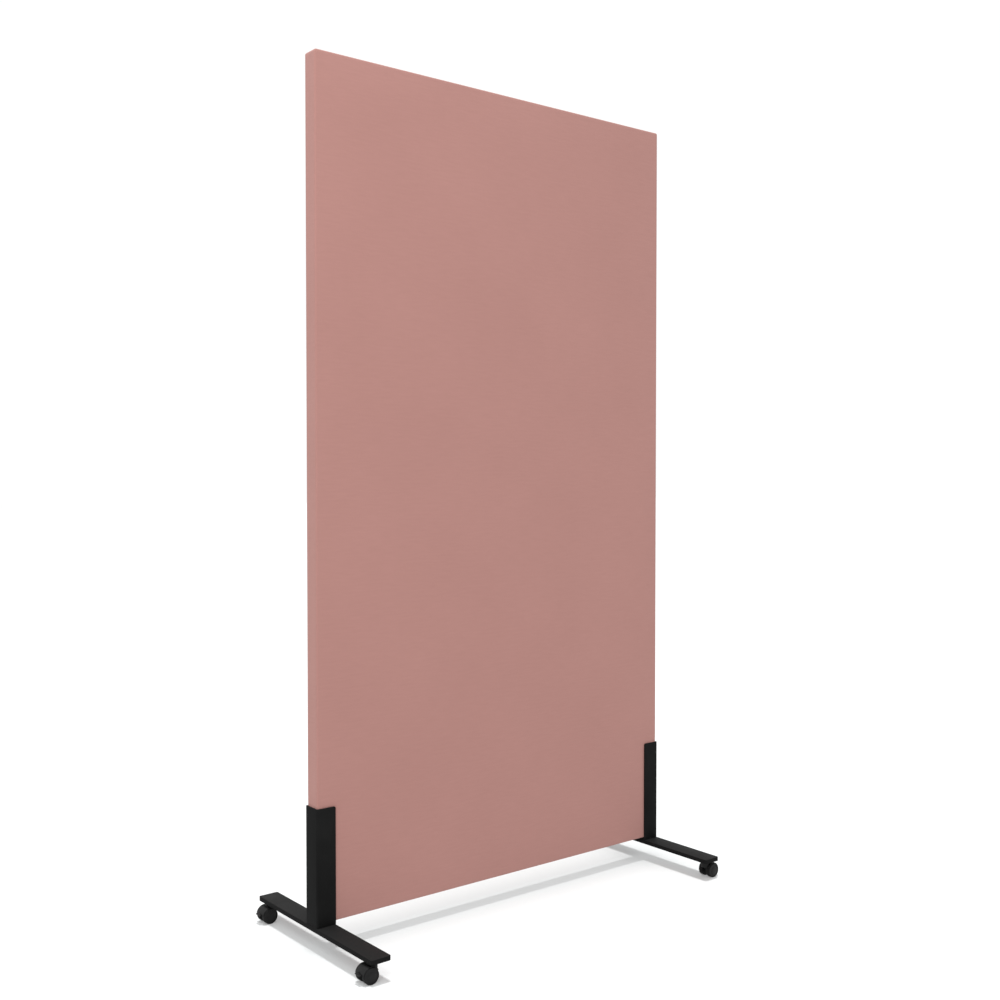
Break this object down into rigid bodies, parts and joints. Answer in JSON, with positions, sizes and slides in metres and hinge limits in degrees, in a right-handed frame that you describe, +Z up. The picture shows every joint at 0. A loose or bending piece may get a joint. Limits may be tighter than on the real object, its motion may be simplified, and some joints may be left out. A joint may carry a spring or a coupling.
{
  "type": "rolling partition",
  "caption": "Free-standing upholstered panel held upright by steel channel feet on flat plates, rolling on small twin-wheel swivel casters; screens or divides a room.",
  "frame": {"origin": "on the floor, under the middle of the panel", "axes": "+Z up, +X along the panel's width, -Y out of the front face of the panel"},
  "size_m": [1.0412, 0.46, 1.8585],
  "materials": {
    "cover_fabric": "matte",
    "wadding": "matte",
    "core_felt": "matte",
    "frame_wood": "matte",
    "strip_plastic": "matte",
    "powder_coat": "matte",
    "caster_nylon": "satin",
    "wheel_plastic": "satin",
    "zinc_steel": "satin",
    "screw_steel": "satin"
  },
  "bodies": {
    "partition": {"fabric_cover": "cover_fabric", "bottom_strip": "strip_plastic", "front_wadding": "wadding", "back_wadding": "wadding", "left_stile": "frame_wood", "right_stile": "frame_wood", "bottom_rail": "frame_wood", "middle_rail": "frame_wood", "top_rail": "frame_wood", "lower_core": "core_felt", "upper_core": "core_felt", "left_lower_panel_screw": "screw_steel", "left_lower_insert": "zinc_steel", "left_upper_panel_screw": "screw_steel", "left_upper_insert": "zinc_steel", "right_lower_panel_screw": "screw_steel", "right_lower_insert": "zinc_steel", "right_upper_panel_screw": "screw_steel", "right_upper_insert": "zinc_steel", "left_upright": "powder_coat", "left_foot_plate": "powder_coat", "left_front_foot_screw": "screw_steel", "left_rear_foot_screw": "screw_steel", "right_upright": "powder_coat", "right_foot_plate": "powder_coat", "right_front_foot_screw": "screw_steel", "right_rear_foot_screw": "screw_steel", "front_left_caster_stem": "zinc_steel", "front_right_caster_stem": "zinc_steel", "rear_left_caster_stem": "zinc_steel", "rear_right_caster_stem": "zinc_steel"},
    "front_left_caster": {"front_left_caster_housing": "caster_nylon", "front_left_caster_axle": "zinc_steel"},
    "front_left_caster_front_wheel": {"front_left_caster_front_wheel": "wheel_plastic"},
    "front_left_caster_rear_wheel": {"front_left_caster_rear_wheel": "wheel_plastic"},
    "front_left_caster_brake": {"front_left_caster_brake_lever": "caster_nylon"},
    "front_right_caster": {"front_right_caster_housing": "caster_nylon", "front_right_caster_axle": "zinc_steel"},
    "front_right_caster_front_wheel": {"front_right_caster_front_wheel": "wheel_plastic"},
    "front_right_caster_rear_wheel": {"front_right_caster_rear_wheel": "wheel_plastic"},
    "front_right_caster_brake": {"front_right_caster_brake_lever": "caster_nylon"},
    "rear_left_caster": {"rear_left_caster_housing": "caster_nylon", "rear_left_caster_axle": "zinc_steel"},
    "rear_left_caster_front_wheel": {"rear_left_caster_front_wheel": "wheel_plastic"},
    "rear_left_caster_rear_wheel": {"rear_left_caster_rear_wheel": "wheel_plastic"},
    "rear_left_caster_brake": {"rear_left_caster_brake_lever": "caster_nylon"},
    "rear_right_caster": {"rear_right_caster_housing": "caster_nylon", "rear_right_caster_axle": "zinc_steel"},
    "rear_right_caster_front_wheel": {"rear_right_caster_front_wheel": "wheel_plastic"},
    "rear_right_caster_rear_wheel": {"rear_right_caster_rear_wheel": "wheel_plastic"},
    "rear_right_caster_brake": {"rear_right_caster_brake_lever": "caster_nylon"}
  },
  "joints": [
    {"name": "front_left_caster_swivel", "type": "hinge", "parent": "partition", "child": "front_left_caster", "pos_m": [-0.486, -0.204, 0.0417], "axis": [0, 0, 1], "continuous": true},
    {"name": "front_left_caster_front_wheel_spin", "type": "hinge", "parent": "front_left_caster", "child": "front_left_caster_front_wheel", "pos_m": [-0.497, -0.204, 0.017], "axis": [0, 1, 0], "continuous": true},
    {"name": "front_left_caster_rear_wheel_spin", "type": "hinge", "parent": "front_left_caster", "child": "front_left_caster_rear_wheel", "pos_m": [-0.497, -0.204, 0.017], "axis": [0, 1, 0], "continuous": true},
    {"name": "front_left_caster_brake_tip", "type": "hinge", "parent": "front_left_caster", "child": "front_left_caster_brake", "pos_m": [-0.50743, -0.204, 0.02209], "axis": [0, -1, 0], "range_deg": [0, 14]},
    {"name": "front_right_caster_swivel", "type": "hinge", "parent": "partition", "child": "front_right_caster", "pos_m": [0.486, -0.204, 0.0417], "axis": [0, 0, 1], "continuous": true},
    {"name": "front_right_caster_front_wheel_spin", "type": "hinge", "parent": "front_right_caster", "child": "front_right_caster_front_wheel", "pos_m": [0.497, -0.204, 0.017], "axis": [0, 1, 0], "continuous": true},
    {"name": "front_right_caster_rear_wheel_spin", "type": "hinge", "parent": "front_right_caster", "child": "front_right_caster_rear_wheel", "pos_m": [0.497, -0.204, 0.017], "axis": [0, 1, 0], "continuous": true},
    {"name": "front_right_caster_brake_tip", "type": "hinge", "parent": "front_right_caster", "child": "front_right_caster_brake", "pos_m": [0.50743, -0.204, 0.02209], "axis": [0, 1, 0], "range_deg": [0, 14]},
    {"name": "rear_left_caster_swivel", "type": "hinge", "parent": "partition", "child": "rear_left_caster", "pos_m": [-0.486, 0.204, 0.0417], "axis": [0, 0, 1], "continuous": true},
    {"name": "rear_left_caster_front_wheel_spin", "type": "hinge", "parent": "rear_left_caster", "child": "rear_left_caster_front_wheel", "pos_m": [-0.497, 0.204, 0.017], "axis": [0, 1, 0], "continuous": true},
    {"name": "rear_left_caster_rear_wheel_spin", "type": "hinge", "parent": "rear_left_caster", "child": "rear_left_caster_rear_wheel", "pos_m": [-0.497, 0.204, 0.017], "axis": [0, 1, 0], "continuous": true},
    {"name": "rear_left_caster_brake_tip", "type": "hinge", "parent": "rear_left_caster", "child": "rear_left_caster_brake", "pos_m": [-0.50743, 0.204, 0.02209], "axis": [0, -1, 0], "range_deg": [0, 14]},
    {"name": "rear_right_caster_swivel", "type": "hinge", "parent": "partition", "child": "rear_right_caster", "pos_m": [0.486, 0.204, 0.0417], "axis": [0, 0, 1], "continuous": true},
    {"name": "rear_right_caster_front_wheel_spin", "type": "hinge", "parent": "rear_right_caster", "child": "rear_right_caster_front_wheel", "pos_m": [0.497, 0.204, 0.017], "axis": [0, 1, 0], "continuous": true},
    {"name": "rear_right_caster_rear_wheel_spin", "type": "hinge", "parent": "rear_right_caster", "child": "rear_right_caster_rear_wheel", "pos_m": [0.497, 0.204, 0.017], "axis": [0, 1, 0], "continuous": true},
    {"name": "rear_right_caster_brake_tip", "type": "hinge", "parent": "rear_right_caster", "child": "rear_right_caster_brake", "pos_m": [0.50743, 0.204, 0.02209], "axis": [0, 1, 0], "range_deg": [0, 14]}
  ]
}
